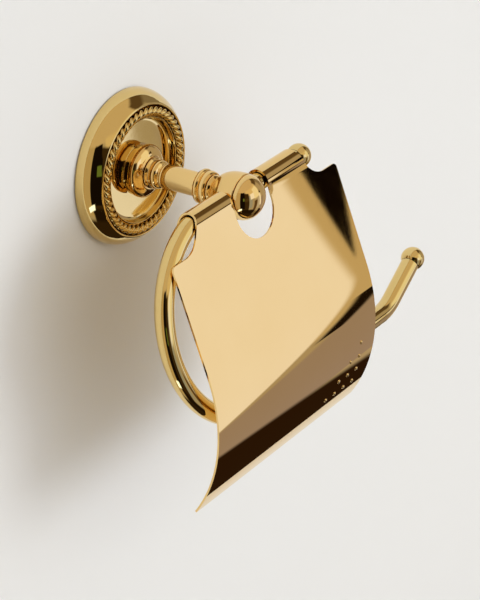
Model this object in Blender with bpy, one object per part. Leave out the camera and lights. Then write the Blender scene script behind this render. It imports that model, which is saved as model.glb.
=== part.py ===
"""Covered toilet paper holder: round wall rosette, turned arm, bent roll rod and a hinged cover."""
import math

import bmesh
import bpy
from mathutils import Matrix, Vector

MM = 0.001

# Frame: wall plane y = 0, the holder reaches out along -Y, +X to the right, +Z up.
AXIS_D = 54.4            # distance of the crossbar axis from the wall

# Wall bracket and its screws
BRACKET_R = 25.0
BRACKET_T = 2.5
SCREW_X = 14.0
SCREW_BEHIND = 30.0

# Rosette
ROPE_R = 24.1
ROPE_D = 9.3
ROPE_TUBE = 2.0
ROPE_LAY = 20            # full turns of the two strands round the ring
GRUB_D = 3.6

# Bent rod
ROD_R = 3.9
ROD_TILT = math.radians(14.6)
ROD_RIGHT = 39.7
BEND_X = -26.9
BEND1_R = 22.0
BEND1_A = math.radians(23.0)
BEND2_R = 41.3
BAR_END_X = 69.9
HOOK_R = 26.0
HOOK_A = math.radians(24.7)
HOOK_LEN = 20.0
END_BALL_R = 5.05
HOOK_BALL_R = 5.05

# Cover
COVER_X = 2.8
COVER_W = 55.9           # half width
COVER_T = 0.8
ROLL_R = 5.1             # middle of the rolled sheet
ROLL_END = math.radians(250.0)
JOGGLE = math.radians(-8.0)
JOGGLE_R = 4.0
LEAN = math.radians(19.3)
FLAT_LEN = 52.3
CURL_R = 68.7
CURL_A = math.radians(54.1)
SLEEVE_OUT = 34.2
CUTOUT_X = -0.45
CUTOUT_R = 12.0
CUTOUT_S = 5.1
TOP_S = 7.5
NOTCH_R = 8.5

GOLD = (0.86, 0.58, 0.22, 1.0)
GOLD_DEEP = (0.80, 0.52, 0.19, 1.0)
STEEL = (0.62, 0.63, 0.65, 1.0)
ZINC = (0.70, 0.71, 0.72, 1.0)


def clear_scene():
    for obj in list(bpy.data.objects):
        bpy.data.objects.remove(obj, do_unlink=True)


def material(name, colour, rough, metal):
    mat = bpy.data.materials.new(name)
    mat.use_nodes = True
    shader = mat.node_tree.nodes["Principled BSDF"]
    shader.inputs["Base Color"].default_value = colour
    shader.inputs["Roughness"].default_value = rough
    shader.inputs["Metallic"].default_value = metal
    mat.diffuse_color = colour
    return mat


def add_object(name, bm, mat=None, smooth=True):
    bmesh.ops.recalc_face_normals(bm, faces=bm.faces[:])
    mesh = bpy.data.meshes.new(name)
    bm.to_mesh(mesh)
    bm.free()
    obj = bpy.data.objects.new(name, mesh)
    bpy.context.scene.collection.objects.link(obj)
    if mat is not None:
        mesh.materials.append(mat)
    if smooth:
        mesh.shade_smooth()
        mesh.set_sharp_from_angle(angle=math.radians(35.0))
    return obj


def arc(cx, cy, r, a0, a1, n):
    """Points on a circle arc, angles in degrees, both ends included."""
    pts = []
    for i in range(n + 1):
        a = math.radians(a0 + (a1 - a0) * i / n)
        pts.append((cx + r * math.cos(a), cy + r * math.sin(a)))
    return pts


def lathe_bm(profile, seg, frame):
    """Turn (radius, along) points round the frame's z axis; a radius of zero closes on the axis."""
    bm = bmesh.new()
    rings = []
    for r, h in profile:
        if r <= 1e-9:
            rings.append([bm.verts.new(frame @ Vector((0.0, 0.0, h * MM)))])
            continue
        ring = []
        for i in range(seg):
            a = 2.0 * math.pi * i / seg
            ring.append(bm.verts.new(frame @ Vector((r * MM * math.cos(a), r * MM * math.sin(a), h * MM))))
        rings.append(ring)
    closed = profile[0][0] > 1e-9
    count = len(rings) if closed else len(rings) - 1
    for k in range(count):
        a = rings[k]
        b = rings[(k + 1) % len(rings)]
        flat = abs(profile[k][1] - profile[(k + 1) % len(profile)][1]) < 1e-9
        if len(a) == 1 and flat:
            bm.faces.new(b)
            continue
        if len(b) == 1 and flat:
            bm.faces.new(a)
            continue
        for i in range(seg):
            j = (i + 1) % seg
            if len(a) == 1:
                bm.faces.new((a[0], b[i], b[j]))
            elif len(b) == 1:
                bm.faces.new((a[i], a[j], b[0]))
            else:
                bm.faces.new((a[i], a[j], b[j], b[i]))
    loose = [v for v in bm.verts if not v.link_faces]
    bmesh.ops.delete(bm, geom=loose, context="VERTS")
    return bm


def arm_frame():
    """z axis of the turned parts runs out from the wall, along -Y."""
    return Matrix(((1, 0, 0, 0), (0, 0, -1, 0), (0, 1, 0, 0), (0, 0, 0, 1)))


def axis_frame(origin, direction):
    """Frame with its z axis along direction and its origin at origin (millimetres)."""
    quat = Vector((0, 0, 1)).rotation_difference(Vector(direction).normalized())
    return Matrix.Translation(Vector(origin) * MM) @ quat.to_matrix().to_4x4()


def lathe(name, profile, seg, mat, frame=None, smooth=True):
    return add_object(name, lathe_bm(profile, seg, frame or arm_frame()), mat, smooth)


def prism(name, pts, low, high, frame):
    """Extrude a 2D outline (millimetres) from low to high along the frame's z axis."""
    bm = bmesh.new()
    a = [bm.verts.new(frame @ Vector((x * MM, y * MM, low * MM))) for x, y in pts]
    b = [bm.verts.new(frame @ Vector((x * MM, y * MM, high * MM))) for x, y in pts]
    bm.faces.new(a)
    bm.faces.new(list(reversed(b)))
    n = len(pts)
    for i in range(n):
        j = (i + 1) % n
        bm.faces.new((a[i], b[i], b[j], a[j]))
    return add_object(name, bm, None, False)


def boolean(target, tool, operation="DIFFERENCE"):
    """Apply an exact boolean and drop the tool."""
    mod = target.modifiers.new("cut", "BOOLEAN")
    mod.operation = operation
    mod.solver = "EXACT"
    mod.object = tool
    graph = bpy.context.evaluated_depsgraph_get()
    mesh = bpy.data.meshes.new_from_object(target.evaluated_get(graph))
    target.modifiers.clear()
    old = target.data
    target.data = mesh
    bpy.data.meshes.remove(old)
    bpy.data.objects.remove(tool, do_unlink=True)


def tidy_mesh(obj):
    """Merge doubles left by the cuts and shade the round faces smooth."""
    bm = bmesh.new()
    bm.from_mesh(obj.data)
    bmesh.ops.remove_doubles(bm, verts=bm.verts[:], dist=2e-6)
    bmesh.ops.dissolve_degenerate(bm, edges=bm.edges[:], dist=1e-6)
    bmesh.ops.recalc_face_normals(bm, faces=bm.faces[:])
    bm.to_mesh(obj.data)
    bm.free()
    obj.data.shade_smooth()
    obj.data.set_sharp_from_angle(angle=math.radians(35.0))


# ---------------------------------------------------------------- wall side

def wall_bracket(mat):
    """Shallow steel dish screwed to the wall; the rosette is locked onto its rim."""
    rim = [(0, 0), (25.0, 0), (25.0, 4.2), (22.5, 4.2), (22.5, BRACKET_T), (0, BRACKET_T)]
    obj = lathe("wall_bracket", rim, 48, mat)
    for side in (-1, 1):
        hole = [(0, -1), (2.2, -1), (2.2, 0.2), (4.9, 2.9), (4.9, 5.0), (0, 5.0)]
        frame = Matrix.Translation((side * SCREW_X * MM, 0, 0)) @ arm_frame()
        boolean(obj, lathe("tool", hole, 24, None, frame, False))
    tidy_mesh(obj)
    return obj


def bracket_screw(name, x, mat):
    """Countersunk wood screw with a cross recess."""
    pts = [(0, 2.4), (3.75, 2.4), (3.75, 2.2), (1.85, 0.3), (1.75, -2.0)]
    depth = -3.0
    while depth > -SCREW_BEHIND + 5.0:
        pts.append((1.35, depth))
        pts.append((1.85, depth - 0.8))
        pts.append((1.35, depth - 1.5))
        depth -= 3.4
    pts.append((1.1, -SCREW_BEHIND + 3.0))
    pts.append((0, -SCREW_BEHIND))
    frame = Matrix.Translation((x * MM, 0, 0)) @ arm_frame()
    obj = lathe(name, pts, 12, mat, frame)
    for wide, tall in ((1.9, 0.45), (0.45, 1.9)):
        box = [(-wide, -tall), (wide, -tall), (wide, tall), (-wide, tall)]
        boolean(obj, prism("tool", box, 1.2, 4.0, frame))
    tidy_mesh(obj)
    return obj


def rosette(mat):
    """Hollow bell-shaped wall plate with a rope groove and a dished floor."""
    outer = [(32.0, 0.0), (32.0, 1.0), (31.8, 2.6), (31.3, 4.3), (30.5, 6.0), (29.4, 7.6)]
    outer += [(28.3, 8.9), (27.5, 9.75), (27.0, 10.05), (26.65, 9.95)]
    groove = arc(ROPE_R, ROPE_D, 2.4, 0, -180, 6)
    floor = [(21.55, 9.6), (21.3, 9.35), (21.2, 7.0), (20.9, 6.5), (20.3, 6.2), (16.0, 6.3), (10.3, 6.6)]
    floor += [(9.5, 6.6), (9.5, 8.8), (9.3, 9.0), (3.3, 9.0), (3.3, 7.4), (8.3, 7.4), (8.3, 4.9)]
    cavity = [(20.3, 4.6), (21.3, 5.0), (22.2, 5.4), (25.4, 5.4), (26.8, 6.7), (28.2, 5.4)]
    cavity += [(29.3, 3.6), (29.85, 1.6), (30.0, 0.0)]
    obj = lathe("rosette", outer + groove + floor + cavity, 40, mat)
    hole = [(0, 27.5), (2.35, 27.5), (2.35, 34.0), (0, 34.0)]
    boolean(obj, lathe("tool", hole, 20, None, axis_frame((0, -GRUB_D, 0), (0, 0, -1)), False))
    tidy_mesh(obj)
    return obj


def rope_ring(mat):
    """Ring of two strands laid round each other."""
    bm = bmesh.new()
    steps = ROPE_LAY * 6
    around = 8
    rings = []
    for i in range(steps):
        a = 2.0 * math.pi * i / steps
        ring = []
        for k in range(around):
            p = 2.0 * math.pi * k / around
            lobe = abs(math.cos(p - ROPE_LAY * a))
            r = ROPE_TUBE * (0.74 + 0.26 * lobe)
            radius = (ROPE_R + r * math.cos(p)) * MM
            y = -(ROPE_D + r * math.sin(p)) * MM
            ring.append(bm.verts.new((radius * math.cos(a), y, radius * math.sin(a))))
        rings.append(ring)
    for i in range(steps):
        a = rings[i]
        b = rings[(i + 1) % steps]
        for k in range(around):
            m = (k + 1) % around
            bm.faces.new((a[k], a[m], b[m], b[k]))
    obj = add_object("rope_ring", bm, mat, False)
    obj.data.shade_smooth()
    return obj


def grub(name, frame, low, high, radius, socket, mat):
    """Headless hexagon-socket screw from low to high along the frame, socket at the high end."""
    pts = [(0, low), (radius - 0.6, low), (radius, low + 0.6), (radius, high - 0.3), (radius - 0.3, high), (0, high)]
    obj = lathe(name, pts, 20, mat, frame)
    boolean(obj, prism("tool", arc(0, 0, socket, 0, 300, 5), high - 2.0, high + 1.0, frame))
    tidy_mesh(obj)
    return obj


# ---------------------------------------------------------------- arm

def hub(mat):
    pts = [(10.3, 9.3), (10.75, 9.7), (10.75, 10.7), (10.5, 11.5), (9.9, 12.2), (9.0, 12.8), (7.9, 13.3)]
    pts += [(6.9, 13.65), (6.4, 13.8), (3.5, 13.8), (3.5, 9.3)]
    return lathe("hub", pts, 32, mat)


def post_screw(mat):
    """Socket-head screw that draws the post onto the rosette from behind."""
    pts = [(0, 3.4), (4.6, 3.4), (4.9, 3.7), (4.9, 6.0), (2.9, 6.0), (2.9, 25.6), (2.4, 26.2), (0, 26.2)]
    obj = lathe("post_screw", pts, 24, mat)
    boolean(obj, prism("tool", arc(0, 0, 2.4, 0, 300, 5), 2.0, 5.2, arm_frame()))
    tidy_mesh(obj)
    return obj


def post_washer(mat):
    return lathe("post_washer", [(3.2, 6.3), (7.2, 6.3), (7.2, 7.1), (3.2, 7.1)], 32, mat)


def post(mat):
    pts = [(0, 27.0), (3.2, 27.0), (3.2, 14.1), (6.2, 14.1), (6.35, 14.35), (5.8, 14.9), (5.4, 15.3)]
    pts += [(5.5, 15.8), (5.8, 16.4), (5.9, 17.1), (5.75, 17.9), (5.3, 18.6), (4.6, 19.0), (4.25, 19.4)]
    pts += [(4.25, 19.8), (4.6, 20.1), (4.95, 20.5), (4.88, 21.1), (4.88, 36.5), (4.6, 37.0)]
    pts += [(2.7, 37.0), (2.7, 30.0), (0, 30.0)]
    return lathe("post", pts, 24, mat)


def knuckle_stud(mat):
    pts = [(0, 30.4), (2.0, 30.4), (2.4, 30.9), (2.4, 48.1), (2.0, 48.6), (0, 48.6)]
    return lathe("knuckle_stud", pts, 20, mat)


def collar(mat):
    pts = [(2.7, 37.3), (5.4, 37.3), (6.3, 37.55), (6.85, 38.05), (7.05, 38.75), (6.9, 39.4), (6.45, 39.9)]
    pts += [(6.1, 40.2), (6.3, 40.5), (6.65, 41.0), (6.75, 41.6), (6.6, 42.2), (6.1, 42.7), (5.3, 42.9)]
    pts += [(2.7, 42.9)]
    return lathe("collar", pts, 24, mat)


def neck_ring(mat):
    pts = [(2.7, 43.2), (4.6, 43.2), (5.0, 43.4), (5.15, 43.9), (4.95, 44.4), (4.5, 44.7), (4.4, 45.0)]
    pts += [(2.7, 45.0)]
    return lathe("neck_ring", pts, 24, mat)


def knuckle(mat):
    """Bell-shaped body bored across for the rod."""
    pts = [(0, 49.0), (2.7, 49.0), (2.7, 45.3), (4.9, 45.3), (5.7, 45.75), (6.6, 46.6), (7.4, 47.7)]
    pts += [(8.1, 49.0), (8.65, 50.4), (9.05, 52.0), (9.25, 53.7), (9.3, 55.2), (9.3, 56.6), (9.2, 57.4)]
    pts += [(9.1, 57.75), (7.8, 57.75), (7.5, 58.6), (6.6, 59.8), (4.8, 61.1), (2.6, 61.8), (0, 62.0)]
    obj = lathe("knuckle", pts, 32, mat)
    cross = [(0, -12), (ROD_R + 0.3, -12), (ROD_R + 0.3, 12), (0, 12)]
    boolean(obj, lathe("tool", cross, 28, None, axis_frame((0, -AXIS_D, 0), (1, 0, 0)), False))
    grub_hole = [(0, 2.0), (2.3, 2.0), (2.3, 12), (0, 12)]
    boolean(obj, lathe("tool", grub_hole, 20, None, axis_frame((0, -AXIS_D, 0), (0, 0, -1)), False))
    tidy_mesh(obj)
    return obj


def knuckle_cap(mat):
    """Hollow dome on the knuckle's front, notched where the rod passes behind its rim."""
    inner = []
    outer = []
    for i in range(7):
        a = math.radians(90.0 * i / 6)
        inner.append((8.2 * math.sin(a), 58.05 + 6.8 * math.cos(a)))
        outer.append((9.1 * math.cos(a), 58.05 + 7.7 * math.sin(a)))
    inner[0] = (0, 64.85)
    outer[-1] = (0, 65.75)
    obj = lathe("knuckle_cap", inner + outer, 32, mat)
    cross = [(0, -12), (ROD_R + 0.3, -12), (ROD_R + 0.3, 12), (0, 12)]
    boolean(obj, lathe("tool", cross, 28, None, axis_frame((0, -AXIS_D, 0), (1, 0, 0)), False))
    tidy_mesh(obj)
    return obj


# ---------------------------------------------------------------- bent rod

def rod_point(x, s):
    """Point of the rod's leaning plane: x across, s down from the crossbar axis."""
    return Vector((x, -AXIS_D - s * math.sin(ROD_TILT), -s * math.cos(ROD_TILT)))


def rod_path():
    pts = [(ROD_RIGHT, 0.0), (20.0, 0.0), (0.0, 0.0), (BEND_X, 0.0)]
    for i in range(1, 11):
        t = BEND1_A * i / 10
        pts.append((BEND_X - BEND1_R * math.sin(t), BEND1_R * (1 - math.cos(t))))
    x0, s0 = pts[-1]
    for i in range(1, 25):
        t = BEND1_A + (math.pi - BEND1_A) * i / 24
        x = x0 + BEND2_R * (math.sin(BEND1_A) - math.sin(t))
        pts.append((x, s0 + BEND2_R * (math.cos(BEND1_A) - math.cos(t))))
    low = pts[-1][1]
    pts.append((25.0, low))
    pts.append((BAR_END_X, low))
    for i in range(1, 7):
        t = HOOK_A * i / 6
        pts.append((BAR_END_X + HOOK_R * math.sin(t), low - HOOK_R * (1 - math.cos(t))))
    x1, s1 = pts[-1]
    pts.append((x1 + HOOK_LEN * math.cos(HOOK_A), s1 - HOOK_LEN * math.sin(HOOK_A)))
    return pts


def bent_rod(mat):
    """Crossbar, C-shaped loop, roll bar and hook in one bent rod."""
    path = [rod_point(x, s) for x, s in rod_path()]
    side = Vector((0, math.cos(ROD_TILT), -math.sin(ROD_TILT)))
    bm = bmesh.new()
    seg = 16
    rings = []
    for i, p in enumerate(path):
        a = path[max(i - 1, 0)]
        b = path[min(i + 1, len(path) - 1)]
        along = (b - a).normalized()
        up = along.cross(side).normalized()
        ring = []
        for k in range(seg):
            t = 2.0 * math.pi * k / seg
            ring.append(bm.verts.new((p + ROD_R * (math.cos(t) * side + math.sin(t) * up)) * MM))
        rings.append(ring)
    for a, b in zip(rings, rings[1:]):
        for k in range(seg):
            m = (k + 1) % seg
            bm.faces.new((a[k], a[m], b[m], b[k]))
    bm.faces.new(rings[0])
    bm.faces.new(list(reversed(rings[-1])))
    obj = add_object("bent_rod", bm, mat)
    for end, other in ((path[0], path[1]), (path[-1], path[-2])):
        frame = axis_frame(end, other - end)
        hole = [(0, -1.0), (2.1, -1.0), (2.1, 6.0), (0, 6.0)]
        boolean(obj, lathe("tool", hole, 14, None, frame, False))
    tidy_mesh(obj)
    return obj


def ball_tip(name, end, direction, radius, mat):
    """Ball with a flat seat and a spigot that enters the drilled rod end."""
    off = math.sqrt(radius * radius - 3.85 * 3.85)
    start = math.degrees(math.asin(3.85 / radius))
    pts = [(0, -5.2), (1.5, -5.2), (1.8, -4.9), (1.8, 0.3)]
    steps = 9
    for i in range(steps + 1):
        a = math.radians(start + (180.0 - start) * i / steps)
        r = radius * math.sin(a)
        h = 0.3 + off - radius * math.cos(a)
        pts.append((0 if i == steps else r, h))
    return lathe(name, pts, 22, mat, axis_frame(end, direction))


# ---------------------------------------------------------------- cover

def cover_profile(side):
    """(outward, up) points of one face of the sheet, from the roll's free end to the curled edge."""
    half = side * COVER_T / 2
    pts = []
    n = 26
    for i in range(n + 1):
        t = ROLL_END + (JOGGLE - ROLL_END) * i / n
        pts.append(((ROLL_R + half) * math.cos(t), (ROLL_R + half) * math.sin(t)))
    cx = (ROLL_R + JOGGLE_R) * math.cos(JOGGLE)
    cy = (ROLL_R + JOGGLE_R) * math.sin(JOGGLE)
    for i in range(1, 5):
        t = JOGGLE + (LEAN - JOGGLE) * i / 4
        pts.append((cx - (JOGGLE_R - half) * math.cos(t), cy - (JOGGLE_R - half) * math.sin(t)))
    ex, ey = flat_point(FLAT_LEN, 0.0)
    cx = ex - CURL_R * math.cos(LEAN)
    cy = ey - CURL_R * math.sin(LEAN)
    for i in range(0, 17):
        t = LEAN - CURL_A * i / 16
        pts.append((cx + (CURL_R + half) * math.cos(t), cy + (CURL_R + half) * math.sin(t)))
    return pts


def flat_point(s, off):
    """Point of the flat part, s down it from the height of the hinge axis, off outward from its middle."""
    cx = (ROLL_R + JOGGLE_R) * math.cos(JOGGLE) - JOGGLE_R * math.cos(LEAN)
    cy = (ROLL_R + JOGGLE_R) * math.sin(JOGGLE) - JOGGLE_R * math.sin(LEAN)
    back = cy / math.cos(LEAN)
    ox = cx + back * math.sin(LEAN)
    return (ox + s * math.sin(LEAN) + off * math.cos(LEAN), -s * math.cos(LEAN) + off * math.sin(LEAN))


def cover_frame():
    """Frame on the flat part: x across, y down the sheet, z out of its front face."""
    ox, oy = flat_point(0.0, 0.0)
    x_dir = Vector((1, 0, 0))
    y_dir = Vector((0, -math.sin(LEAN), -math.cos(LEAN)))
    z_dir = Vector((0, -math.cos(LEAN), math.sin(LEAN)))
    origin = Vector((COVER_X, -AXIS_D - ox, oy)) * MM
    rows = [[x_dir[i], y_dir[i], z_dir[i], origin[i]] for i in range(3)]
    return Matrix(rows + [[0, 0, 0, 1]])


def notch_outline(side):
    """Corner removed beside a sleeve: straight sleeve end, round inner corner, level top edge."""
    pts = [(SLEEVE_OUT, -14.0)]
    pts += arc(SLEEVE_OUT + NOTCH_R, TOP_S - NOTCH_R, NOTCH_R, 180, 90, 8)
    pts += arc(COVER_W - 2.0, TOP_S + 2.0, 2.0, -90, 0, 3)
    pts += [(COVER_W + 4.0, TOP_S + 2.0), (COVER_W + 4.0, -14.0)]
    return [(side * x, y) for x, y in pts]


def cutout_outline():
    pts = [(CUTOUT_X - CUTOUT_R, -14.0)]
    pts += arc(CUTOUT_X, CUTOUT_S, CUTOUT_R, 180, 0, 18)
    pts.append((CUTOUT_X + CUTOUT_R, -14.0))
    return pts


def dimple_spots():
    """Decorative group of small raised dots by the right end of the curled edge: (x, along the curl)."""
    spots = []
    for row in range(4):
        for col in range(row + 1):
            spots.append((45.6 - 6.6 * col, 82.9 + 6.65 * row))
    return spots


def cover(mat):
    outer = cover_profile(1)
    inner = cover_profile(-1)
    outline = outer + list(reversed(inner))
    bm = bmesh.new()
    ends = []
    for x in (COVER_X - COVER_W, COVER_X + COVER_W):
        ends.append([bm.verts.new((x * MM, (-AXIS_D - u) * MM, v * MM)) for u, v in outline])
    n = len(outline)
    bm.faces.new(ends[0])
    bm.faces.new(list(reversed(ends[1])))
    for i in range(n):
        j = (i + 1) % n
        bm.faces.new((ends[0][i], ends[1][i], ends[1][j], ends[0][j]))
    obj = add_object("cover", bm, mat, False)
    frame = cover_frame()
    boolean(obj, prism("tool", notch_outline(1), -16.0, 8.0, frame))
    boolean(obj, prism("tool", notch_outline(-1), -16.0, 8.0, frame))
    boolean(obj, prism("tool", cutout_outline(), -16.0, 8.0, frame))
    ex, ey = flat_point(FLAT_LEN, 0.0)
    cx = ex - CURL_R * math.cos(LEAN)
    cy = ey - CURL_R * math.sin(LEAN)
    for x, s in dimple_spots():
        t = LEAN - (s - FLAT_LEN) / CURL_R
        r = CURL_R + COVER_T / 2 - 0.45
        centre = (x + COVER_X, -AXIS_D - cx - r * math.cos(t), cy + r * math.sin(t))
        dome = [(0, -0.2), (0.75, -0.2), (0.75, 0.4), (0.5, 0.75), (0, 0.9)]
        out = (0, -math.cos(t), math.sin(t))
        boolean(obj, lathe("tool", dome, 8, None, axis_frame(centre, out), False), "UNION")
    tidy_mesh(obj)
    shift = Vector((0, -AXIS_D * MM, 0))
    obj.data.transform(Matrix.Translation(-shift))
    obj.location = shift
    return obj


def build():
    clear_scene()
    gold = {}
    for name in ("rosette", "rope_ring", "hub", "post", "collar", "neck_ring", "knuckle", "knuckle_cap"):
        gold[name] = material("brass_" + name, GOLD_DEEP if name == "rope_ring" else GOLD, 0.08, 1.0)
    rod_mat = material("brass_rod", GOLD, 0.08, 1.0)
    ball_mat = material("brass_balls", GOLD, 0.08, 1.0)
    cover_mat = material("brass_cover", GOLD, 0.06, 1.0)
    steel = material("steel_bracket", STEEL, 0.45, 1.0)
    zinc = material("zinc_screws", ZINC, 0.35, 1.0)
    wall_bracket(steel)
    bracket_screw("bracket_screw_l", -SCREW_X, zinc)
    bracket_screw("bracket_screw_r", SCREW_X, zinc)
    rosette(gold["rosette"])
    rope_ring(gold["rope_ring"])
    grub("rosette_grub", axis_frame((0, -GRUB_D, 0), (0, 0, -1)), 25.4, 31.0, 2.0, 1.0, zinc)
    hub(gold["hub"])
    post_screw(zinc)
    post_washer(zinc)
    post(gold["post"])
    knuckle_stud(zinc)
    collar(gold["collar"])
    neck_ring(gold["neck_ring"])
    knuckle(gold["knuckle"])
    knuckle_cap(gold["knuckle_cap"])
    grub("knuckle_grub", axis_frame((0, -AXIS_D, 0), (0, 0, -1)), 4.4, 9.2, 1.95, 1.0, zinc)
    bent_rod(rod_mat)
    path = [rod_point(x, s) for x, s in rod_path()]
    ball_tip("end_ball", path[0], path[0] - path[1], END_BALL_R, ball_mat)
    ball_tip("hook_ball", path[-1], path[-1] - path[-2], HOOK_BALL_R, ball_mat)
    cover(cover_mat)


build()
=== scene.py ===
"""Looks of the covered toilet paper holder: polished gold-coloured brass in front of a pale wall."""
import math

import bmesh
import bpy
from mathutils import Matrix, Vector


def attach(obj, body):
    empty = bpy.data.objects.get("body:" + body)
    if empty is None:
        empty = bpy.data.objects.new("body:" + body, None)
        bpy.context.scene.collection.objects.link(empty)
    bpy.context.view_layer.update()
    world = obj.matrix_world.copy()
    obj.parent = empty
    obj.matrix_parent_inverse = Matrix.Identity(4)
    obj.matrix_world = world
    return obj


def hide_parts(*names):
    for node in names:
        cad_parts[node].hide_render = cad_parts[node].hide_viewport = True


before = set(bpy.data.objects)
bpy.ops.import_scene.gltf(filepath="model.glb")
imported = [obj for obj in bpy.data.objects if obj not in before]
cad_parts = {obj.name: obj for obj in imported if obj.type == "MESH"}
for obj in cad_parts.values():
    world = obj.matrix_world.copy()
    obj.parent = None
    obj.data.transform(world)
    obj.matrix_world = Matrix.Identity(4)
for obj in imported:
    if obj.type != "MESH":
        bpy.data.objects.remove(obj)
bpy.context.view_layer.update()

MM = 0.001

# Frame: wall plane y = 0, the holder reaches out along -Y, +X to the right, +Z up. Sizes in millimetres.
AXIS_D = 54.4            # distance of the hinge axis from the wall
ROPE_R = 24.1            # middle of the rope ring: its radius and its distance from the wall
ROPE_D = 9.3
ROPE_LAY = 24            # turns of the two strands round the ring
GRUB_D = 3.6             # distance of the grub-screw hole from the wall
ROD_R = 3.88
ROD_TILT = math.radians(14.6)
ROD_RIGHT = 39.7
BEND_X = -28.46
BEND1_R = 18.0
BEND1_A = math.radians(23.0)
BEND2_R = 41.3
BAR_END_X = 69.9
HOOK_R = 26.0
HOOK_A = math.radians(24.7)
HOOK_LEN = 20.0
BALL_R = 5.03
BALL_SEAT_R = 3.85       # radius of the flat where a ball meets the rod
BALL_GAP = 0.3           # from the rod's end to that flat
COVER_X = 2.8
COVER_W = 55.9
COVER_T = 0.8
ROLL_R = 4.7             # middle of the sheet in the rolled sleeves
ROLL_END = math.radians(235.0)
JOGGLE = math.radians(4.8)
JOGGLE_R = 15.0          # crease between the roll and the flat
CREASE_EASED = 26.0      # the same crease beside the cut-out
LEAN = math.radians(19.3)
FLAT_OFF = (ROLL_R + JOGGLE_R) * math.cos(JOGGLE - LEAN) - JOGGLE_R   # flat sheet's middle to the hinge axis
FLAT_LEN = 52.3
CURL_R = 68.7
CURL_A = math.radians(54.1)
SLEEVE_OUT = 34.3
CUTOUT_X = -0.45
CUTOUT_R = 12.0
CUTOUT_S = 5.1
TOP_S = 7.7
NOTCH_X = 36.3           # notch beside each sleeve
NOTCH_R = 11.1
CUT_TOP = -14.0          # how far the cutting tools reach beyond the sheet
CUT_LOW = -16.0
CUT_HIGH = 8.0

# Raised dots on the curl: rows down the sheet and columns across it
DOT_ROWS = 4
DOT_S = 82.9
DOT_STEP_S = 6.65
DOT_X = 45.6
DOT_STEP_X = 6.6
DOT_SINK = 0.25

# Camera, at the photograph's viewing angle
CAM_AZ = 54.5
CAM_EL = 27.27
CAM_ROLL = -1.89
CAM_DIST = 998.05
CAM_SIDE = -4.06
CAM_RISE = -21.44
CAM_AIM = (0, -60, -20)
CAM_SENSOR = 36.0
CAM_LENS = 154.092       # millimetres, for the sensor above
LIGHT_AIM = (0, -0.05, -0.03)   # metres

GOLD = (0.87, 0.61, 0.25)
GOLD_DEEP = (0.80, 0.52, 0.18)
DARKER_BRASS = (0.80, 0.59, 0.24)         # slightly darker brass, even over the rosette, rope ring and rod
DARKER_BRASS_DEEP = (0.70, 0.50, 0.18)


# ---------------------------------------------------------------- mesh helpers

def finish_mesh(name, bm, sharp=35.0):
    bmesh.ops.recalc_face_normals(bm, faces=bm.faces[:])
    mesh = bpy.data.meshes.new(name)
    bm.to_mesh(mesh)
    bm.free()
    obj = bpy.data.objects.new(name, mesh)
    bpy.context.scene.collection.objects.link(obj)
    mesh.shade_smooth()
    mesh.set_sharp_from_angle(angle=math.radians(sharp))
    return obj


def smooth_line(pts, steps=6):
    """Centripetal Catmull-Rom curve through the points."""
    if len(pts) < 3:
        return list(pts)
    first = (2 * pts[0][0] - pts[1][0], 2 * pts[0][1] - pts[1][1])
    last = (2 * pts[-1][0] - pts[-2][0], 2 * pts[-1][1] - pts[-2][1])
    p = [Vector(q) for q in [first] + list(pts) + [last]]
    out = []
    for i in range(1, len(p) - 2):
        t0 = 0.0
        t1 = t0 + max((p[i] - p[i - 1]).length, 1e-6) ** 0.5
        t2 = t1 + max((p[i + 1] - p[i]).length, 1e-6) ** 0.5
        t3 = t2 + max((p[i + 2] - p[i + 1]).length, 1e-6) ** 0.5
        for k in range(steps):
            t = t1 + (t2 - t1) * k / steps
            a1 = p[i - 1] * ((t1 - t) / (t1 - t0)) + p[i] * ((t - t0) / (t1 - t0))
            a2 = p[i] * ((t2 - t) / (t2 - t1)) + p[i + 1] * ((t - t1) / (t2 - t1))
            a3 = p[i + 1] * ((t3 - t) / (t3 - t2)) + p[i + 2] * ((t - t2) / (t3 - t2))
            b1 = a1 * ((t2 - t) / (t2 - t0)) + a2 * ((t - t0) / (t2 - t0))
            b2 = a2 * ((t3 - t) / (t3 - t1)) + a3 * ((t - t1) / (t3 - t1))
            c = b1 * ((t2 - t) / (t2 - t1)) + b2 * ((t - t1) / (t2 - t1))
            out.append((max(c.x, 0.0), c.y))
    out.append(tuple(pts[-1]))
    return out


def outline(*runs, steps=6):
    """Join several runs of points into one profile; each run is smooth, the joints stay crisp."""
    out = []
    for run in runs:
        for q in smooth_line(run, steps):
            if out and abs(out[-1][0] - q[0]) < 1e-6 and abs(out[-1][1] - q[1]) < 1e-6:
                continue
            out.append(q)
    return out


def arc(cx, cy, r, a0, a1, n):
    pts = []
    for i in range(n + 1):
        a = math.radians(a0 + (a1 - a0) * i / n)
        pts.append((cx + r * math.cos(a), cy + r * math.sin(a)))
    return pts


def arm_frame():
    """z axis of the turned parts runs out from the wall, along -Y."""
    return Matrix(((1, 0, 0, 0), (0, 0, -1, 0), (0, 1, 0, 0), (0, 0, 0, 1)))


def axis_frame(origin, direction):
    quat = Vector((0, 0, 1)).rotation_difference(Vector(direction).normalized())
    return Matrix.Translation(Vector(origin) * MM) @ quat.to_matrix().to_4x4()


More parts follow.
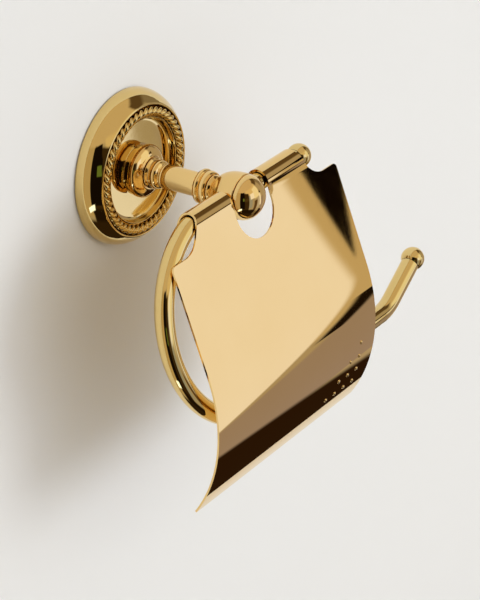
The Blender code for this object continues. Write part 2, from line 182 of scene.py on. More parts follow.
def lathe_bm(profile, seg, at, bm=None):
    """Turn (radius, along) points round the frame's z axis."""
    bm = bm or bmesh.new()
    rings = []
    for r, h in profile:
        if r <= 1e-6:
            rings.append([bm.verts.new(at @ Vector((0.0, 0.0, h * MM)))])
            continue
        ring = []
        for i in range(seg):
            a = 2.0 * math.pi * i / seg
            ring.append(bm.verts.new(at @ Vector((r * MM * math.cos(a), r * MM * math.sin(a), h * MM))))
        rings.append(ring)
    closed = profile[0][0] > 1e-6
    count = len(rings) if closed else len(rings) - 1
    for k in range(count):
        a = rings[k]
        b = rings[(k + 1) % len(rings)]
        if len(a) == 1 and len(b) == 1:
            continue
        for i in range(seg):
            j = (i + 1) % seg
            if len(a) == 1:
                bm.faces.new((a[0], b[i], b[j]))
            elif len(b) == 1:
                bm.faces.new((a[i], a[j], b[0]))
            else:
                bm.faces.new((a[i], a[j], b[j], b[i]))
    return bm


def lathe(name, profile, seg=128, at=None, sharp=35.0):
    return finish_mesh(name, lathe_bm(profile, seg, at or arm_frame()), sharp)


def prism(pts, low, high, at):
    bm = bmesh.new()
    a = [bm.verts.new(at @ Vector((x * MM, y * MM, low * MM))) for x, y in pts]
    b = [bm.verts.new(at @ Vector((x * MM, y * MM, high * MM))) for x, y in pts]
    bm.faces.new(a)
    bm.faces.new(list(reversed(b)))
    n = len(pts)
    for i in range(n):
        j = (i + 1) % n
        bm.faces.new((a[i], b[i], b[j], a[j]))
    return finish_mesh("tool", bm)


def cut(target, tool):
    """Exact boolean difference, applied at once."""
    mod = target.modifiers.new("cut", "BOOLEAN")
    mod.operation = "DIFFERENCE"
    mod.solver = "EXACT"
    mod.object = tool
    graph = bpy.context.evaluated_depsgraph_get()
    mesh = bpy.data.meshes.new_from_object(target.evaluated_get(graph))
    target.modifiers.clear()
    old = target.data
    target.data = mesh
    bpy.data.meshes.remove(old)
    bpy.data.objects.remove(tool, do_unlink=True)
    mesh.shade_smooth()
    mesh.set_sharp_from_angle(angle=math.radians(35.0))


def sweep(name, path, radius, seg, side):
    """Round bar along a path that lies in a plane with normal side; ends are closed with flat caps."""
    bm = bmesh.new()
    rings = []
    last = len(path) - 1
    for i, p in enumerate(path):
        along = (path[min(i + 1, last)] - path[max(i - 1, 0)]).normalized()
        up = along.cross(side).normalized()
        ring = []
        for k in range(seg):
            t = 2.0 * math.pi * k / seg
            ring.append(bm.verts.new((p + radius * (math.cos(t) * side + math.sin(t) * up)) * MM))
        rings.append(ring)
    for a, b in zip(rings, rings[1:]):
        for k in range(seg):
            m = (k + 1) % seg
            bm.faces.new((a[k], a[m], b[m], b[k]))
    bm.faces.new(rings[0])
    bm.faces.new(list(reversed(rings[-1])))
    return finish_mesh(name, bm)


# ---------------------------------------------------------------- materials

def socket(mat, name):
    return mat.node_tree.nodes["Principled BSDF"].inputs[name]


def node(mat, kind, **values):
    made = mat.node_tree.nodes.new(kind)
    for key, value in values.items():
        if key in made.inputs:
            made.inputs[key].default_value = value
        else:
            setattr(made, key, value)
    return made


def link(mat, a, b):
    mat.node_tree.links.new(a, b)


def noise(mat, coord, scale, detail, rough=0.5, stretch=(1.0, 1.0, 1.0)):
    mapping = node(mat, "ShaderNodeMapping")
    mapping.inputs["Scale"].default_value = stretch
    link(mat, coord, mapping.inputs["Vector"])
    tex = node(mat, "ShaderNodeTexNoise", Scale=scale, Detail=detail, Roughness=rough)
    link(mat, mapping.outputs["Vector"], tex.inputs["Vector"])
    return tex.outputs["Fac"]


def spread(mat, fac, low, high, start=0.3, end=0.7):
    """Map a noise value onto a number range."""
    ranger = node(mat, "ShaderNodeMapRange")
    ranger.inputs["From Min"].default_value = start
    ranger.inputs["From Max"].default_value = end
    ranger.inputs["To Min"].default_value = low
    ranger.inputs["To Max"].default_value = high
    link(mat, fac, ranger.inputs["Value"])
    return ranger.outputs["Result"]


def gold_material(name, light=GOLD, deep=GOLD_DEEP, rough=(0.035, 0.075), wave=0.0, brush=(1.0, 1.0, 1.0),
                  tone=0.35, scratch=0.1):
    """Mirror-polished, gold-coloured brass: cloudy tone, fine polishing haze and hairline swirls."""
    mat = bpy.data.materials.new(name)
    mat.use_nodes = True
    coord = node(mat, "ShaderNodeTexCoord").outputs["Object"]
    cloud = noise(mat, coord, 38.0, 3.0)
    ramp = node(mat, "ShaderNodeMix", data_type="RGBA")
    ramp.inputs["A"].default_value = (*light, 1.0)
    ramp.inputs["B"].default_value = (*deep, 1.0)
    link(mat, spread(mat, cloud, 0.0, tone), ramp.inputs["Factor"])
    link(mat, ramp.outputs["Result"], socket(mat, "Base Color"))
    haze = noise(mat, coord, 120.0, 4.0, 0.6, brush)
    link(mat, spread(mat, haze, *rough), socket(mat, "Roughness"))
    socket(mat, "Metallic").default_value = 1.0
    hair = noise(mat, coord, 900.0, 2.0, 0.5, brush)
    fine = node(mat, "ShaderNodeBump", Strength=scratch, Distance=0.000005)
    link(mat, hair, fine.inputs["Height"])
    normal = fine.outputs["Normal"]
    if wave:
        swell = noise(mat, coord, 17.0, 1.0, 0.4)
        broad = node(mat, "ShaderNodeBump", Strength=1.0, Distance=wave)
        link(mat, swell, broad.inputs["Height"])
        link(mat, normal, broad.inputs["Normal"])
        normal = broad.outputs["Normal"]
    link(mat, normal, socket(mat, "Normal"))
    return mat


def steel_material(name, colour, rough):
    mat = bpy.data.materials.new(name)
    mat.use_nodes = True
    coord = node(mat, "ShaderNodeTexCoord").outputs["Object"]
    cloud = noise(mat, coord, 160.0, 4.0)
    ramp = node(mat, "ShaderNodeMix", data_type="RGBA")
    ramp.inputs["A"].default_value = (*colour, 1.0)
    ramp.inputs["B"].default_value = (*[c * 0.72 for c in colour], 1.0)
    link(mat, spread(mat, cloud, 0.0, 1.0), ramp.inputs["Factor"])
    link(mat, ramp.outputs["Result"], socket(mat, "Base Color"))
    link(mat, spread(mat, cloud, rough, rough + 0.15), socket(mat, "Roughness"))
    socket(mat, "Metallic").default_value = 1.0
    bump = node(mat, "ShaderNodeBump", Strength=0.3, Distance=0.00004)
    link(mat, noise(mat, coord, 1400.0, 3.0), bump.inputs["Height"])
    link(mat, bump.outputs["Normal"], socket(mat, "Normal"))
    return mat


def plaster_material():
    """Pale wall, clear from behind so that the back of the holder can be looked at."""
    mat = bpy.data.materials.new("plaster_wall")
    mat.use_nodes = True
    coord = node(mat, "ShaderNodeTexCoord").outputs["Object"]
    cloud = noise(mat, coord, 3.0, 2.0)
    ramp = node(mat, "ShaderNodeMix", data_type="RGBA")
    ramp.inputs["A"].default_value = (0.80, 0.805, 0.82, 1.0)
    ramp.inputs["B"].default_value = (0.83, 0.835, 0.85, 1.0)
    link(mat, cloud, ramp.inputs["Factor"])
    link(mat, ramp.outputs["Result"], socket(mat, "Base Color"))
    socket(mat, "Roughness").default_value = 0.9
    socket(mat, "Specular IOR Level").default_value = 0.1
    geometry = node(mat, "ShaderNodeNewGeometry")
    clear = node(mat, "ShaderNodeBsdfTransparent")
    mix = node(mat, "ShaderNodeMixShader")
    link(mat, geometry.outputs["Backfacing"], mix.inputs[0])
    link(mat, mat.node_tree.nodes["Principled BSDF"].outputs[0], mix.inputs[1])
    link(mat, clear.outputs[0], mix.inputs[2])
    link(mat, mix.outputs[0], mat.node_tree.nodes["Material Output"].inputs["Surface"])
    return mat


# ---------------------------------------------------------------- rosette and arm

def rosette_profile():
    flank = [(32.0, 0.9), (31.93, 1.8), (31.75, 2.9), (31.3, 4.3), (30.5, 6.0), (29.4, 7.6), (28.3, 8.9), (27.6, 9.65)]
    lip = [(27.6, 9.65), (27.3, 9.9), (26.95, 10.03), (26.68, 9.95), (26.5, 9.7), (26.5, 9.3)]
    groove = arc(ROPE_R, ROPE_D, 2.4, 0, -180, 28)
    land = [(21.7, 9.3), (21.66, 9.5), (21.5, 9.62), (21.32, 9.5), (21.25, 9.2)]
    wall = [(21.25, 9.2), (21.2, 7.6), (21.05, 6.95), (20.7, 6.5), (20.2, 6.3)]
    floor = [(20.2, 6.3), (19.7, 6.26), (19.2, 6.25), (16.0, 6.25), (13.0, 6.25), (10.2, 6.25)]
    boss = [(9.7, 6.35), (9.5, 6.6), (9.5, 8.8), (9.3, 9.0)]
    back = [(3.3, 9.0), (3.3, 7.4), (8.3, 7.4), (8.3, 4.9), (20.3, 4.6)]
    cavity = [(20.3, 4.6), (21.3, 5.0), (22.2, 5.4), (25.4, 5.4), (26.8, 6.7), (28.2, 5.4), (29.3, 3.6), (29.85, 1.6),
              (30.0, 0.0)]
    prof = [(31.9, 0.0), (32.0, 0.15)]
    prof += outline(flank, lip) + groove + outline(land, wall, floor, boss)
    return prof + back + outline(cavity)


def make_rosette():
    obj = lathe("rosette_body", rosette_profile(), 176)
    hole = [(0, 27.5), (2.35, 27.5), (2.35, 34.0), (0, 34.0)]
    cut(obj, lathe("tool", hole, 40, axis_frame((0, -GRUB_D, 0), (0, 0, -1))))
    return obj


def make_rope():
    """Two round strands laid round each other in the rosette's groove."""
    bm = bmesh.new()
    steps = ROPE_LAY * 30
    around = 12
    strand = 1.06
    reach = 0.9
    for half in (0.0, math.pi):
        centres = []
        for i in range(steps):
            a = 2.0 * math.pi * i / steps
            p = ROPE_LAY * a + half
            radius = ROPE_R + reach * math.cos(p)
            depth = ROPE_D + reach * math.sin(p)
            centres.append(Vector((radius * math.cos(a), -depth, radius * math.sin(a))))
        rings = []
        for i in range(steps):
            a = 2.0 * math.pi * i / steps
            along = (centres[(i + 1) % steps] - centres[i - 1]).normalized()
            out = Vector((math.cos(a), 0, math.sin(a)))
            out = (out - along * out.dot(along)).normalized()
            up = along.cross(out)
            ring = []
            for k in range(around):
                t = 2.0 * math.pi * k / around
                ring.append(bm.verts.new((centres[i] + strand * (math.cos(t) * out + math.sin(t) * up)) * MM))
            rings.append(ring)
        for i in range(steps):
            a = rings[i]
            b = rings[(i + 1) % steps]
            for k in range(around):
                m = (k + 1) % around
                bm.faces.new((a[k], a[m], b[m], b[k]))
    return finish_mesh("rope_strands", bm, 60.0)


def make_hub():
    side = [(10.3, 9.3), (10.62, 9.42), (10.75, 9.75), (10.75, 10.6), (10.6, 11.3), (10.1, 12.0), (9.2, 12.65),
            (8.0, 13.2), (7.1, 13.5), (6.75, 13.75), (6.35, 13.8)]
    return lathe("hub_dome", outline(side) + [(3.5, 13.8), (3.5, 9.3)], 128)


def make_post():
    foot = [(3.2, 14.1), (6.1, 14.1)]
    base = [(6.1, 14.1), (6.32, 14.2), (6.3, 14.42), (5.9, 14.8), (5.5, 15.15), (5.42, 15.45)]
    bead = [(5.42, 15.45), (5.6, 15.85), (5.82, 16.4), (5.9, 17.1), (5.78, 17.8), (5.4, 18.5), (4.75, 18.95)]
    neck = [(4.75, 18.95), (4.35, 19.25), (4.25, 19.6), (4.35, 19.95), (4.6, 20.2)]
    step = [(4.6, 20.2), (4.85, 20.3), (4.97, 20.6), (4.9, 21.0), (4.88, 21.6)]
    prof = [(0, 27.0), (3.2, 27.0)] + outline(foot, base, bead, neck, step)
    prof += [(4.88, 36.5), (4.8, 36.85), (4.6, 37.0), (2.7, 37.0), (2.7, 30.0), (0, 30.0)]
    return lathe("post_turned", prof, 112)


def make_collar():
    first = [(5.3, 37.3), (6.1, 37.4), (6.75, 37.75), (7.05, 38.4), (7.05, 38.95), (6.75, 39.5), (6.2, 39.85),
             (6.0, 39.95)]
    second = [(6.0, 39.95), (6.35, 40.15), (6.65, 40.55), (6.76, 41.1), (6.7, 41.7), (6.5, 42.3), (6.15, 42.8),
              (5.9, 42.9)]
    return lathe("collar_beads", [(2.7, 37.3)] + outline(first, second) + [(2.7, 42.9)], 112)


def make_neck_ring():
    bead = [(4.4, 43.2), (5.5, 43.22), (5.62, 43.4), (5.5, 43.8), (5.2, 44.3), (4.8, 44.75), (4.4, 45.0)]
    return lathe("neck_ring_bead", [(2.7, 43.2)] + outline(bead) + [(2.7, 45.0)], 96)


def cross_bore(target):
    bore = [(0, -14), (ROD_R + 0.3, -14), (ROD_R + 0.3, 14), (0, 14)]
    cut(target, lathe("tool", bore, 64, axis_frame((0, -AXIS_D, 0), (1, 0, 0))))


def make_knuckle():
    bell = [(4.9, 45.3), (5.35, 45.5), (5.9, 45.95), (6.7, 46.8), (7.45, 47.8), (8.1, 49.0), (8.65, 50.4), (9.03, 52.0),
            (9.23, 53.7), (9.3, 55.2), (9.3, 56.6), (9.22, 57.3)]
    rim = [(9.22, 57.3), (9.15, 57.6), (8.95, 57.75)]
    nose = [(7.8, 57.75), (7.5, 58.6), (6.6, 59.8), (4.8, 61.1), (2.6, 61.8), (0, 62.0)]
    prof = [(0, 49.0), (2.7, 49.0), (2.7, 45.3)] + outline(bell, rim, nose)
    obj = lathe("knuckle_bell", prof, 144)
    cross_bore(obj)
    hole = [(0, 2.0), (2.3, 2.0), (2.3, 12), (0, 12)]
    cut(obj, lathe("tool", hole, 40, axis_frame((0, -AXIS_D, 0), (0, 0, -1))))
    return obj


def make_dome():
    inner = []
    outer = [(8.6, 58.05), (8.85, 58.1), (9.02, 58.25)]
    steps = 30
    for i in range(steps + 1):
        a = math.radians(90.0 * i / steps)
        inner.append((0 if i == 0 else 8.2 * math.sin(a), 58.05 + 6.8 * math.cos(a)))
        if i > 0:
            outer.append((0 if i == steps else 9.1 * math.cos(a), 58.05 + 7.7 * math.sin(a)))
    obj = lathe("knuckle_dome", inner + outer, 144)
    cross_bore(obj)
    return obj


# ---------------------------------------------------------------- bent rod

def rod_point(x, s):
    return Vector((x, -AXIS_D - s * math.sin(ROD_TILT), -s * math.cos(ROD_TILT)))


def rod_path():
    pts = [(ROD_RIGHT, 0.0)]
    for i in range(1, 14):
        pts.append((ROD_RIGHT + (BEND_X - ROD_RIGHT) * i / 13, 0.0))
    for i in range(1, 15):
        t = BEND1_A * i / 14
        pts.append((BEND_X - BEND1_R * math.sin(t), BEND1_R * (1 - math.cos(t))))
    x0, s0 = pts[-1]
    for i in range(1, 91):
        t = BEND1_A + (math.pi - BEND1_A) * i / 90
        x = x0 + BEND2_R * (math.sin(BEND1_A) - math.sin(t))
        pts.append((x, s0 + BEND2_R * (math.cos(BEND1_A) - math.cos(t))))
    x1, low = pts[-1]
    for i in range(1, 16):
        pts.append((x1 + (BAR_END_X - x1) * i / 15, low))
    for i in range(1, 19):
        t = HOOK_A * i / 18
        pts.append((BAR_END_X + HOOK_R * math.sin(t), low - HOOK_R * (1 - math.cos(t))))
    x2, s2 = pts[-1]
    for i in range(1, 6):
        k = HOOK_LEN * i / 5
        pts.append((x2 + k * math.cos(HOOK_A), s2 - k * math.sin(HOOK_A)))
    return [rod_point(x, s) for x, s in pts]


def make_rod(path):
    side = Vector((0, math.cos(ROD_TILT), -math.sin(ROD_TILT)))
    return sweep("rod_bent", path, ROD_R, 48, side)


def make_ball(name, end, direction):
    off = math.sqrt(BALL_R * BALL_R - BALL_SEAT_R * BALL_SEAT_R)
    start = math.degrees(math.asin(BALL_SEAT_R / BALL_R))
    pts = [(0, BALL_GAP), (3.6, BALL_GAP)]
    steps = 44
    for i in range(steps + 1):
        a = math.radians(start + (180.0 - start) * i / steps)
        pts.append((0 if i == steps else BALL_R * math.sin(a), BALL_GAP + off - BALL_R * math.cos(a)))
    return lathe(name, pts, 80, axis_frame(end, direction))


# ---------------------------------------------------------------- cover

def joggle_angle(radius):
    return LEAN - math.acos((FLAT_OFF + radius) / (ROLL_R + radius))


def flat_middle(s, off=0.0):
    """Point of the flat part: s down it from the height of the hinge axis, off outward from its middle."""
    return (FLAT_OFF / math.cos(LEAN) + s * math.sin(LEAN) + off * math.cos(LEAN),
            off * math.sin(LEAN) - s * math.cos(LEAN))


def cover_section(side, joggle_r):
    """(outward, up) points of one face of the sheet.

    side is 1 for the outer face, -1 for the inner; joggle_r is the radius of the crease under the roll.
    """
    half = side * COVER_T / 2
    start = joggle_angle(joggle_r)
    pts = []
    steps = 72
    for i in range(steps + 1):
        t = ROLL_END + (start - ROLL_END) * i / steps
        pts.append(((ROLL_R + half) * math.cos(t), (ROLL_R + half) * math.sin(t)))
    cx = (ROLL_R + joggle_r) * math.cos(start)
    cy = (ROLL_R + joggle_r) * math.sin(start)
    steps = 16
    for i in range(1, steps + 1):
        t = start + (LEAN - start) * i / steps
        pts.append((cx - (joggle_r - half) * math.cos(t), cy - (joggle_r - half) * math.sin(t)))
    x0, y0 = pts[-1]
    ex, ey = flat_middle(FLAT_LEN, half)
    for i in range(1, 12):
        k = i / 11
        pts.append((x0 + (ex - x0) * k, y0 + (ey - y0) * k))
    mx, my = flat_middle(FLAT_LEN)
    cx = mx - CURL_R * math.cos(LEAN)
    cy = my - CURL_R * math.sin(LEAN)
    steps = 64
    for i in range(1, steps + 1):
        t = LEAN - CURL_A * i / steps
        pts.append((cx + (CURL_R + half) * math.cos(t), cy + (CURL_R + half) * math.sin(t)))
    return pts


def cover_frame():
    ox, oy = flat_middle(0.0)
    x_dir = Vector((1, 0, 0))
    y_dir = Vector((0, -math.sin(LEAN), -math.cos(LEAN)))
    z_dir = Vector((0, -math.cos(LEAN), math.sin(LEAN)))
    origin = Vector((COVER_X, -AXIS_D - ox, oy)) * MM
    rows = [[x_dir[i], y_dir[i], z_dir[i], origin[i]] for i in range(3)]
    return Matrix(rows + [[0, 0, 0, 1]])


def notch(side):
    pts = [(SLEEVE_OUT, CUT_TOP), (SLEEVE_OUT, -5.5), (SLEEVE_OUT + 0.4, -4.1), (SLEEVE_OUT + 1.1, -2.9),
           (SLEEVE_OUT + 1.8, -1.8)]
    pts += arc(NOTCH_X + NOTCH_R, TOP_S - NOTCH_R, NOTCH_R, 164, 90, 30)
    pts += arc(COVER_W - 2.0, TOP_S + 2.0, 2.0, -90, 0, 12)
    pts += [(COVER_W + 4.0, TOP_S + 2.0), (COVER_W + 4.0, CUT_TOP)]
    return [(side * x, y) for x, y in pts]


def cutout():
    pts = [(CUTOUT_X - CUTOUT_R, CUT_TOP)]
    pts += arc(CUTOUT_X, CUTOUT_S, CUTOUT_R, 180, 0, 72)
    pts.append((CUTOUT_X + CUTOUT_R, CUT_TOP))
    return pts


def cover_slices():
    """x of the sheet's cross-sections with the crease radius at each; the crease fades by the cut-out."""
    left = COVER_X + CUTOUT_X - CUTOUT_R
    right = COVER_X + CUTOUT_X + CUTOUT_R
    xs = [COVER_X - COVER_W, -48.0, -42.0, -36.0, -30.0, -24.0, -18.0]
    xs += [left - 4.0 + 0.4 * i for i in range(0, 10)]
    xs += [left + 0.4, -4.0, 2.35, 9.0, right - 0.4]
    xs += [right + 0.4 + 0.4 * i for i in range(0, 10)]
    xs += [22.0, 28.0, 34.0, 40.0, 46.0, 52.0, COVER_X + COVER_W]
    out = []
    for x in xs:
        near = min(abs(x - left), abs(x - right))
        if left < x < right:
            near = 0.0
        k = max(0.0, min(1.0, (near - 0.3) / 1.9))
        k = k * k * (3.0 - 2.0 * k)
        out.append((x, CREASE_EASED + (JOGGLE_R - CREASE_EASED) * k ** 0.35))
    return out


def make_cover():
    bm = bmesh.new()
    rings = []
    for x, radius in cover_slices():
        section = cover_section(1, radius) + list(reversed(cover_section(-1, radius)))
        rings.append([bm.verts.new((x * MM, (-AXIS_D - u) * MM, v * MM)) for u, v in section])
    n = len(rings[0])
    for a, b in zip(rings, rings[1:]):
        for i in range(n):
            j = (i + 1) % n
            bm.faces.new((a[i], b[i], b[j], a[j]))
    bm.faces.new(rings[0])
    bm.faces.new(list(reversed(rings[-1])))
    obj = finish_mesh("cover_sheet", bm)
    at = cover_frame()
    cut(obj, prism(notch(1), CUT_LOW, CUT_HIGH, at))
    cut(obj, prism(notch(-1), CUT_LOW, CUT_HIGH, at))
    cut(obj, prism(cutout(), CUT_LOW, CUT_HIGH, at))
    add_dots(obj)
    return obj


def add_dots(obj):
    """Triangular group of small raised dots near the right end of the curled edge."""
    bm = bmesh.new()
    bm.from_mesh(obj.data)
    mx, my = flat_middle(FLAT_LEN)
    cx = mx - CURL_R * math.cos(LEAN)
    cy = my - CURL_R * math.sin(LEAN)
    dome = outline([(0.95, -DOT_SINK), (0.9, 0.0), (0.78, 0.22), (0.5, 0.36), (0.25, 0.42), (0, 0.44)])
    for row in range(DOT_ROWS):
        for col in range(row + 1):
            t = LEAN - (DOT_S + DOT_STEP_S * row - FLAT_LEN) / CURL_R
            r = CURL_R + COVER_T / 2
            x = COVER_X + DOT_X - DOT_STEP_X * col
            centre = (x, -AXIS_D - cx - r * math.cos(t), cy + r * math.sin(t))
            extra = lathe_bm([(0, -DOT_SINK)] + dome, 24, axis_frame(centre, (0, -math.cos(t), math.sin(t))))
            mesh = bpy.data.meshes.new("dot")
            bmesh.ops.recalc_face_normals(extra, faces=extra.faces[:])
            extra.to_mesh(mesh)
            extra.free()
            bm.from_mesh(mesh)
            bpy.data.meshes.remove(mesh)
    bm.to_mesh(obj.data)
    bm.free()
    obj.data.shade_smooth()
    obj.data.set_sharp_from_angle(angle=math.radians(35.0))


# ---------------------------------------------------------------- stage, light and camera

def make_stage():
    wall = plane_object("backdrop_wall", 2.4, Matrix.Rotation(math.radians(90), 4, "X"), (0, 0.0004, 1.8))
    wall.data.materials.append(plaster_material())
    floor = plane_object("pale_floor", 2.4, Matrix.Identity(4), (0, -2.4, -0.6))
    mat = bpy.data.materials.new("pale_floor")
    mat.use_nodes = True
    coord = node(mat, "ShaderNodeTexCoord").outputs["Object"]
    ramp = node(mat, "ShaderNodeMix", data_type="RGBA")
    ramp.inputs["A"].default_value = (0.76, 0.75, 0.73, 1.0)
    ramp.inputs["B"].default_value = (0.80, 0.79, 0.77, 1.0)
    link(mat, noise(mat, coord, 3.0, 2.0), ramp.inputs["Factor"])
    link(mat, ramp.outputs["Result"], socket(mat, "Base Color"))
    socket(mat, "Roughness").default_value = 0.8
    floor.data.materials.append(mat)
    floor.visible_glossy = False


def plane_object(name, half, turn, place):
    bm = bmesh.new()
    corners = [(-half, -half), (half, -half), (half, half), (-half, half)]
    bm.faces.new([bm.verts.new(Vector(place) + turn.to_3x3() @ Vector((x, y, 0))) for x, y in corners])
    mesh = bpy.data.meshes.new(name)
    bm.to_mesh(mesh)
    bm.free()
    obj = bpy.data.objects.new(name, mesh)
    bpy.context.scene.collection.objects.link(obj)
    return obj


# Studio panels round the object, seen from it. Limits and colours are set to suit the directions and tones of the
# photograph's reflections. Each has its limits in azimuth (0 is straight out from the wall,
# positive to the right) and in elevation, both in degrees, then the softness of its edges, how far it leans
# and bends sideways below the horizon, how its lower and upper edge rise to the right, and its colour.
# Later ones lie over earlier ones.
ROOM = (0.46, 0.41, 0.34)
PANELS = [
    ("ceiling", -180, 180, 38, 100, 8.0, 0, 0, 0, (0.67, 0.56, 0.41)),
    ("upper front", -30, 45, 17, 44, 7.0, 0, 0, 0, (0.78, 0.66, 0.44)),
    ("left wall", -180, -60, -55, 40, 6.0, 0, 0, 0, (0.54, 0.44, 0.29)),
    ("dark screen", -62, -13, -50, 41, 5.0, 0, 0, -0.28, (0.045, 0.028, 0.010)),
    ("black window", -65, -37, -38, 39, 2.5, 0, 0, 0, (0.008, 0.005, 0.003)),
    ("green card", -47, -39, -1, 12, 2.0, 0, 0, 0, (0.14, 0.22, 0.05)),
    ("warm card", -38, -14, -5, 8, 5.0, 0, 0, 0, (0.075, 0.050, 0.020)),
    ("grey screen", -13, 3, -36, 16, 3.0, 0, 0, 0, (0.36, 0.40, 0.48)),
    ("front strip", -6, 17, -1, 21, 4.0, 0, 0, 0, (1.05, 1.12, 1.45)),
    ("softbox halo", 14, 44, -4, 36, 7.0, 0, 0, 0, (0.98, 0.98, 0.90)),
    ("softbox foot", 30, 46, -38, -5, 6.0, 0, 0, 0, (0.56, 0.56, 0.62)),
    ("brown card", 13, 29, -44, -11, 4.0, 0, 0, 0, (0.12, 0.075, 0.035)),
    ("low right", 28, 105, -76, -47, 7.0, 0, 0, 0, (0.20, 0.16, 0.10)),
    ("dim right", 72, 110, 6, 34, 7.0, 0, 0, 0, (0.26, 0.22, 0.17)),
    ("softbox frame", 47, 51.4, -20, 8, 0.5, 0, 0, 0, (0.60, 0.52, 0.38)),
    ("brown wall", 48.9, 65.5, -46, -13, 0.7, -0.17, 0, 0, (0.36, 0.31, 0.34)),
    ("frame edge", 47.7, 48.6, -21.5, -13.5, 0.4, -0.2, 0, 0, (0.012, 0.007, 0.003)),
    ("frame top", 43, 51, 2.2, 9.0, 1.0, 0, 0, 0, (0.10, 0.07, 0.035)),
    ("softbox", 40, 48.6, -31, 1.8, 0.3, -0.045, 0.0042, 0, (0.98, 1.03, 1.30)),
    ("frame gap", 49.08, 51.0, -2.65, 8, 0.06, 0, 0, 2.4, (0.004, 0.002, 0.001)),
    ("upper right card", 51, 100, 31, 50, 7.0, 0, 0, 0, (0.12, 0.08, 0.04)),
    ("lower right card", 50, 112, -58, -40.3, 1.6, 0, 0, 0, (0.024, 0.011, 0.004)),
    ("low front", -60, 29, -68, -43, 7.0, 0, 0, 0, (0.016, 0.009, 0.003)),
    ("floor", -180, 180, -100, -62, 9.0, 0, 0, 0, (0.030, 0.017, 0.006)),
    ("left floor light", -80, -55, -50, -42, 2.5, 0, 0, 0.22, (1.8, 2.2, 3.0)),
]


def make_world():
    world = bpy.data.worlds.new("studio")
    bpy.context.scene.world = world
    world.use_nodes = True
    tree = world.node_tree
    back = tree.nodes["Background"]

    def math_node(kind, a, b=None):
        made = tree.nodes.new("ShaderNodeMath")
        made.operation = kind
        for k, value in enumerate((a, b)):
            if value is None:
                continue
            if isinstance(value, (int, float)):
                made.inputs[k].default_value = value
            else:
                tree.links.new(value, made.inputs[k])
        return made.outputs[0]

    def edge(value, half, soft):
        ranger = tree.nodes.new("ShaderNodeMapRange")
        ranger.interpolation_type = "SMOOTHSTEP"
        ranger.inputs["From Min"].default_value = half + soft / 2
        ranger.inputs["From Max"].default_value = half - soft / 2
        tree.links.new(value, ranger.inputs["Value"])
        return ranger.outputs["Result"]

    coord = tree.nodes.new("ShaderNodeTexCoord")
    split = tree.nodes.new("ShaderNodeSeparateXYZ")
    tree.links.new(coord.outputs["Generated"], split.inputs[0])
    outward = math_node("MULTIPLY", split.outputs["Y"], -1.0)
    az = math_node("DEGREES", math_node("ARCTAN2", split.outputs["X"], outward))
    el = math_node("DEGREES", math_node("ARCSINE", split.outputs["Z"]))
    colour = None
    for _, left, right, low, high, soft, lean, bend, rise, tint in PANELS:
        drift = math_node("MULTIPLY", el, lean)
        if bend:
            drift = math_node("ADD", drift, math_node("MULTIPLY", math_node("MULTIPLY", el, el), bend))
        across = math_node("SUBTRACT", az, drift) if lean or bend else az
        up = el
        if rise:
            up = math_node("SUBTRACT", el, math_node("MULTIPLY", math_node("SUBTRACT", az, left), rise))
        off = math_node("ABSOLUTE", math_node("SUBTRACT", across, (left + right) / 2))
        height = math_node("ABSOLUTE", math_node("SUBTRACT", up, (low + high) / 2))
        sides = edge(off, (right - left) / 2, soft)
        ends = edge(height, (high - low) / 2, soft)
        mask = math_node("MULTIPLY", sides, ends)
        mix = tree.nodes.new("ShaderNodeMix")
        mix.data_type = "RGBA"
        mix.clamp_factor = True
        tree.links.new(mask, mix.inputs["Factor"])
        if colour is None:
            mix.inputs["A"].default_value = (*ROOM, 1.0)
        else:
            tree.links.new(colour, mix.inputs["A"])
        mix.inputs["B"].default_value = (*tint, 1.0)
        colour = mix.outputs["Result"]
    tree.links.new(colour, back.inputs["Color"])
    back.inputs["Strength"].default_value = 1.0


def area_light(name, azimuth, elevation, distance, size, watts, colour):
    data = bpy.data.lights.new(name, "AREA")
    data.shape = "DISK"
    data.size = size
    data.energy = watts
    data.color = colour
    obj = bpy.data.objects.new(name, data)
    bpy.context.scene.collection.objects.link(obj)
    a, e = math.radians(azimuth), math.radians(elevation)
    toward = Vector((math.sin(a) * math.cos(e), -math.cos(a) * math.cos(e), math.sin(e)))
    obj.location = Vector(LIGHT_AIM) + toward * distance
    obj.rotation_mode = "QUATERNION"
    obj.rotation_quaternion = toward.to_track_quat("Z", "Y")
    obj.visible_glossy = False
    return obj


def make_lights():
    make_world()
    area_light("key_right", 18.0, 8.0, 1.7, 0.8, 6.6, (0.95, 0.98, 1.0))
    area_light("fill_front", 0.0, 14.0, 2.2, 3.0, 20.5, (0.93, 0.98, 1.0))


def make_camera():
    a, e, r = math.radians(CAM_AZ), math.radians(CAM_EL), math.radians(CAM_ROLL)
    back = Vector((-math.sin(a) * math.cos(e), -math.cos(a) * math.cos(e), math.sin(e)))
    right = Vector((math.cos(a), -math.sin(a), 0))
    up = Vector((math.sin(a) * math.sin(e), math.cos(a) * math.sin(e), math.cos(e)))
    right, up = math.cos(r) * right + math.sin(r) * up, -math.sin(r) * right + math.cos(r) * up
    place = Vector(CAM_AIM) + back * CAM_DIST + right * CAM_SIDE + up * CAM_RISE
    data = bpy.data.cameras.new("camera")
    data.sensor_width = CAM_SENSOR
    data.lens = CAM_LENS
    data.clip_start = 0.01
    data.clip_end = 50.0
    obj = bpy.data.objects.new("camera", data)
    bpy.context.scene.collection.objects.link(obj)
    turn = Matrix((right, up, back)).transposed().to_4x4()
    obj.matrix_world = Matrix.Translation(place * MM) @ turn
    bpy.context.scene.camera = obj


# ---------------------------------------------------------------- build

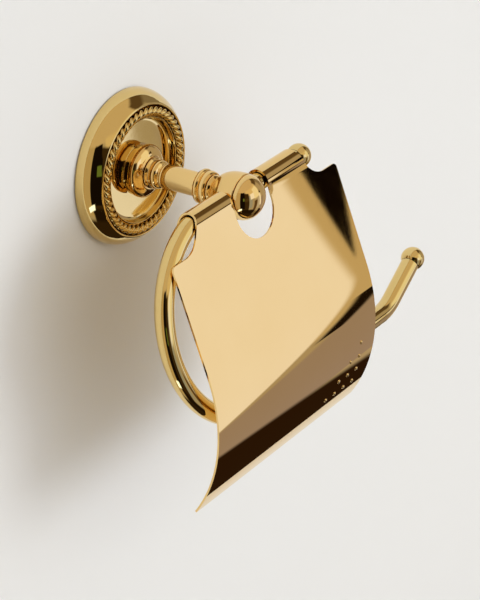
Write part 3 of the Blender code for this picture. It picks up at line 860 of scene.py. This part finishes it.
def dress(obj, mat, body, nodes):
    obj.data.materials.clear()
    obj.data.materials.append(mat)
    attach(obj, body)
    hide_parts(*nodes)


def build():
    rosette_gold = gold_material("gold_rosette", DARKER_BRASS, DARKER_BRASS_DEEP, rough=(0.02, 0.05))
    rope_gold = gold_material("gold_rope", DARKER_BRASS, DARKER_BRASS_DEEP, rough=(0.06, 0.12), tone=0.8)
    arm_gold = gold_material("gold_arm", rough=(0.02, 0.045), brush=(1.0, 8.0, 1.0))
    rod_gold = gold_material("gold_rod", DARKER_BRASS, DARKER_BRASS_DEEP, rough=(0.02, 0.045))
    cover_gold = gold_material("gold_cover", rough=(0.008, 0.02), wave=0.00001,
                               brush=(6.0, 1.0, 1.0), tone=0.2, scratch=0.03)
    dress(make_rosette(), rosette_gold, "holder", ["rosette"])
    dress(make_rope(), rope_gold, "holder", ["rope_ring"])
    dress(make_hub(), arm_gold, "holder", ["hub"])
    dress(make_post(), arm_gold, "holder", ["post"])
    dress(make_collar(), arm_gold, "holder", ["collar"])
    dress(make_neck_ring(), arm_gold, "holder", ["neck_ring"])
    dress(make_knuckle(), arm_gold, "holder", ["knuckle"])
    dress(make_dome(), arm_gold, "holder", ["knuckle_cap"])
    path = rod_path()
    dress(make_rod(path), rod_gold, "holder", ["bent_rod"])
    end_ball = make_ball("end_ball_tip", path[0], path[0] - path[1])
    dress(end_ball, rod_gold, "holder", ["end_ball"])
    hook_ball = make_ball("hook_ball_tip", path[-1], path[-1] - path[-2])
    dress(hook_ball, rod_gold, "holder", ["hook_ball"])
    dress(make_cover(), cover_gold, "lid", ["cover"])
    plate = steel_material("bracket_steel", (0.56, 0.57, 0.59), 0.32)
    zinc = steel_material("zinc_steel", (0.66, 0.67, 0.69), 0.22)
    for name in ("wall_bracket", "bracket_screw_l", "bracket_screw_r", "rosette_grub", "post_screw", "post_washer",
                 "knuckle_stud", "knuckle_grub"):
        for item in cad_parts[name].material_slots:
            item.material = plate if name == "wall_bracket" else zinc


build()
make_stage()
make_lights()
make_camera()
bpy.context.scene.view_settings.view_transform = "Standard"
bpy.context.view_layer.update()
